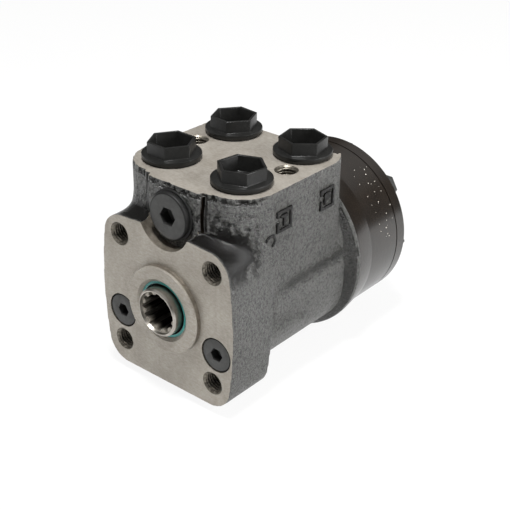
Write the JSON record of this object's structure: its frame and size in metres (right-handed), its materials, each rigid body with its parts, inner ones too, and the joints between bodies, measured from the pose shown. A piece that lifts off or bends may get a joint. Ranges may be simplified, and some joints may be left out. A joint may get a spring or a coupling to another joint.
{
  "type": "orbital steering unit",
  "caption": "Rotary hydraulic steering valve with a splined shaft, square flange, capped ports on top and a gear set behind.",
  "frame": {"origin": "centre of the mounting flange's face, on the shaft axis", "axes": "-Y out of the flange face towards the steering column, +Z out of the port face, +X to the right seen from the front"},
  "size_m": [0.0932, 0.1495, 0.1167],
  "materials": {
    "casting": "black enamel on rough cast iron, machined faces bare",
    "ground_steel": "ground and turned steel",
    "black_steel": "black oxide steel",
    "barrel": "satin black paint on turned iron",
    "cap_plastic": "moulded black plastic",
    "teal_seal": "moulded seal, teal",
    "black_rubber": "moulded rubber, black",
    "spring_steel": "oil-tempered spring steel",
    "bronze": "stamped brass"
  },
  "bodies": {
    "unit": {"housing": "casting", "dust_seal": "teal_seal", "shaft_seal": "black_rubber", "bearing_race_front": "ground_steel", "distributor_plate": "barrel", "gear_ring": "barrel", "end_cover": "barrel", "o_ring_housing": "black_rubber", "o_ring_plate": "black_rubber", "o_ring_cover": "black_rubber", "cover_bolts": "black_steel", "pin_bolt": "black_steel", "bolt_washers": "black_steel", "relief_plug": "black_steel", "relief_washer": "black_rubber", "relief_seat": "ground_steel", "relief_spring": "spring_steel", "check_bush": "ground_steel", "shock_plug_left": "black_steel", "shock_washer_left": "black_rubber", "shock_seat_left": "ground_steel", "shock_spring_left": "spring_steel", "shock_plug_right": "black_steel", "shock_washer_right": "black_rubber", "shock_seat_right": "ground_steel", "shock_spring_right": "spring_steel", "port_cap_front_left": "cap_plastic", "port_cap_front_right": "cap_plastic", "port_cap_rear_left": "cap_plastic", "port_cap_rear_right": "cap_plastic"},
    "sleeve": {"control_sleeve": "ground_steel", "cross_pin": "ground_steel", "bearing_race_rear": "ground_steel", "spring_ring": "ground_steel", "neutral_springs": "spring_steel"},
    "spool": {"control_spool": "ground_steel"},
    "bearing_cage": {"needle_cage": "bronze", "bearing_needles": "ground_steel"},
    "orbit": {"cardan_spacer": "ground_steel"},
    "rotor": {"gear_rotor": "ground_steel"},
    "cardan": {"cardan_shaft": "ground_steel"},
    "relief_poppet_body": {"relief_poppet": "ground_steel"},
    "shock_ball_left_body": {"shock_ball_left": "ground_steel"},
    "shock_ball_right_body": {"shock_ball_right": "ground_steel"},
    "check_ball_body": {"check_ball": "ground_steel"}
  },
  "joints": [
    {"name": "sleeve_turn", "type": "hinge", "parent": "unit", "child": "sleeve", "pos_m": [0, 0.06, 0], "axis": [0, -1, 0], "continuous": true},
    {"name": "spool_turn", "type": "hinge", "parent": "sleeve", "child": "spool", "pos_m": [0, 0.06, 0], "axis": [0, -1, 0], "range_deg": [-10, 10], "stiffness_Nm_per_rad": 8, "deforming": ["neutral_springs"]},
    {"name": "bearing_cage_turn", "type": "hinge", "parent": "unit", "child": "bearing_cage", "pos_m": [0, 0.00955, 0], "axis": [0, -1, 0], "continuous": true},
    {"name": "orbit_turn", "type": "hinge", "parent": "unit", "child": "orbit", "pos_m": [0, 0.119, 0], "axis": [0, -1, 0], "continuous": true},
    {"name": "rotor_turn", "type": "hinge", "parent": "orbit", "child": "rotor", "pos_m": [0.0006, 0.119, -0.00284], "axis": [0, -1, 0], "continuous": true},
    {"name": "cardan_turn", "type": "hinge", "parent": "orbit", "child": "cardan", "pos_m": [0, 0.0615, 0], "axis": [-0.0104, -0.9987, 0.0493], "continuous": true},
    {"name": "relief_poppet_slide", "type": "slide", "parent": "unit", "child": "relief_poppet_body", "axis": [0, -1, 0], "range_m": [0, 0.002], "stiffness_N_per_m": 2000, "springref_m": -0.002, "deforming": ["relief_spring"]},
    {"name": "shock_ball_left_slide", "type": "slide", "parent": "unit", "child": "shock_ball_left_body", "axis": [0, -1, 0], "range_m": [0, 0.0015], "stiffness_N_per_m": 1000, "springref_m": -0.001, "deforming": ["shock_spring_left"]},
    {"name": "shock_ball_right_slide", "type": "slide", "parent": "unit", "child": "shock_ball_right_body", "axis": [0, -1, 0], "range_m": [0, 0.0015], "stiffness_N_per_m": 1000, "springref_m": -0.001, "deforming": ["shock_spring_right"]},
    {"name": "check_ball_slide", "type": "slide", "parent": "unit", "child": "check_ball_body", "axis": [0, 0, 1], "range_m": [0, 0.0015]}
  ],
  "couplings": [
    {"joint": "bearing_cage_turn", "follows": "sleeve_turn", "ratio": 0.5},
    {"joint": "orbit_turn", "follows": "sleeve_turn", "ratio": -6},
    {"joint": "rotor_turn", "follows": "sleeve_turn", "ratio": 7},
    {"joint": "cardan_turn", "follows": "sleeve_turn", "ratio": 7}
  ]
}
